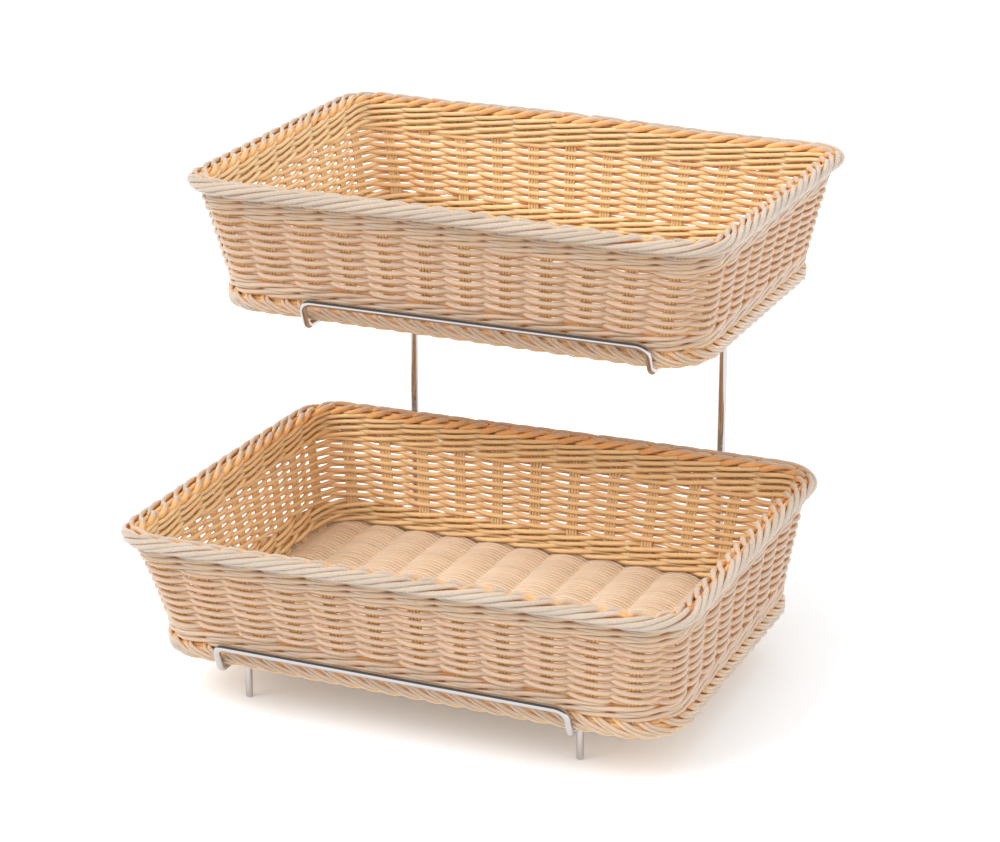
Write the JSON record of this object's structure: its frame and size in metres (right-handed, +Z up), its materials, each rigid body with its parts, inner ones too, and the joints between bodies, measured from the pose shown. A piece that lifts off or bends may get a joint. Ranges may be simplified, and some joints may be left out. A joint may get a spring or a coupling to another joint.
{
  "type": "bread basket stand",
  "caption": "Two-tier chrome wire counter stand with woven rectangular baskets, the upper one raised and set back, for showing bread and rolls.",
  "frame": {"origin": "on the floor, under the middle of the two baskets together", "axes": "+X to the right along the front, +Y to the back, +Z up"},
  "size_m": [0.423, 0.436, 0.3285],
  "materials": {
    "chrome_wire": "polished chrome plate",
    "cane_weave": "satin-gloss plastic cane",
    "cane_border": "satin-gloss plastic cane",
    "cane_base": "satin plastic cane"
  },
  "bodies": {
    "stand": {"lower_front_bar": "chrome_wire", "lower_left_hook": "chrome_wire", "lower_right_hook": "chrome_wire", "lower_left_rail": "chrome_wire", "lower_right_rail": "chrome_wire", "upper_front_bar": "chrome_wire", "upper_left_hook": "chrome_wire", "upper_right_hook": "chrome_wire", "upper_left_rail": "chrome_wire", "upper_right_rail": "chrome_wire", "left_front_leg": "chrome_wire", "right_front_leg": "chrome_wire", "left_rear_post": "chrome_wire", "right_rear_post": "chrome_wire", "front_crossbar": "chrome_wire", "lower_rear_crossbar": "chrome_wire", "upper_rear_crossbar": "chrome_wire"},
    "lower_basket": {"lower_base_panel": "cane_base", "lower_foot_border": "cane_border", "lower_bottom_wale": "cane_weave", "lower_woven_wall": "cane_weave", "lower_top_wale": "cane_weave", "lower_rim_border": "cane_border"},
    "upper_basket": {"upper_base_panel": "cane_base", "upper_foot_border": "cane_border", "upper_bottom_wale": "cane_weave", "upper_woven_wall": "cane_weave", "upper_top_wale": "cane_weave", "upper_rim_border": "cane_border"}
  },
  "joints": [
    {"name": "lower_basket_lift", "type": "slide", "parent": "stand", "child": "lower_basket", "axis": [0, 0, 1], "range_m": [0, 0.09]},
    {"name": "upper_basket_lift", "type": "slide", "parent": "stand", "child": "upper_basket", "axis": [0, 0, 1], "range_m": [0, 0.15]}
  ]
}
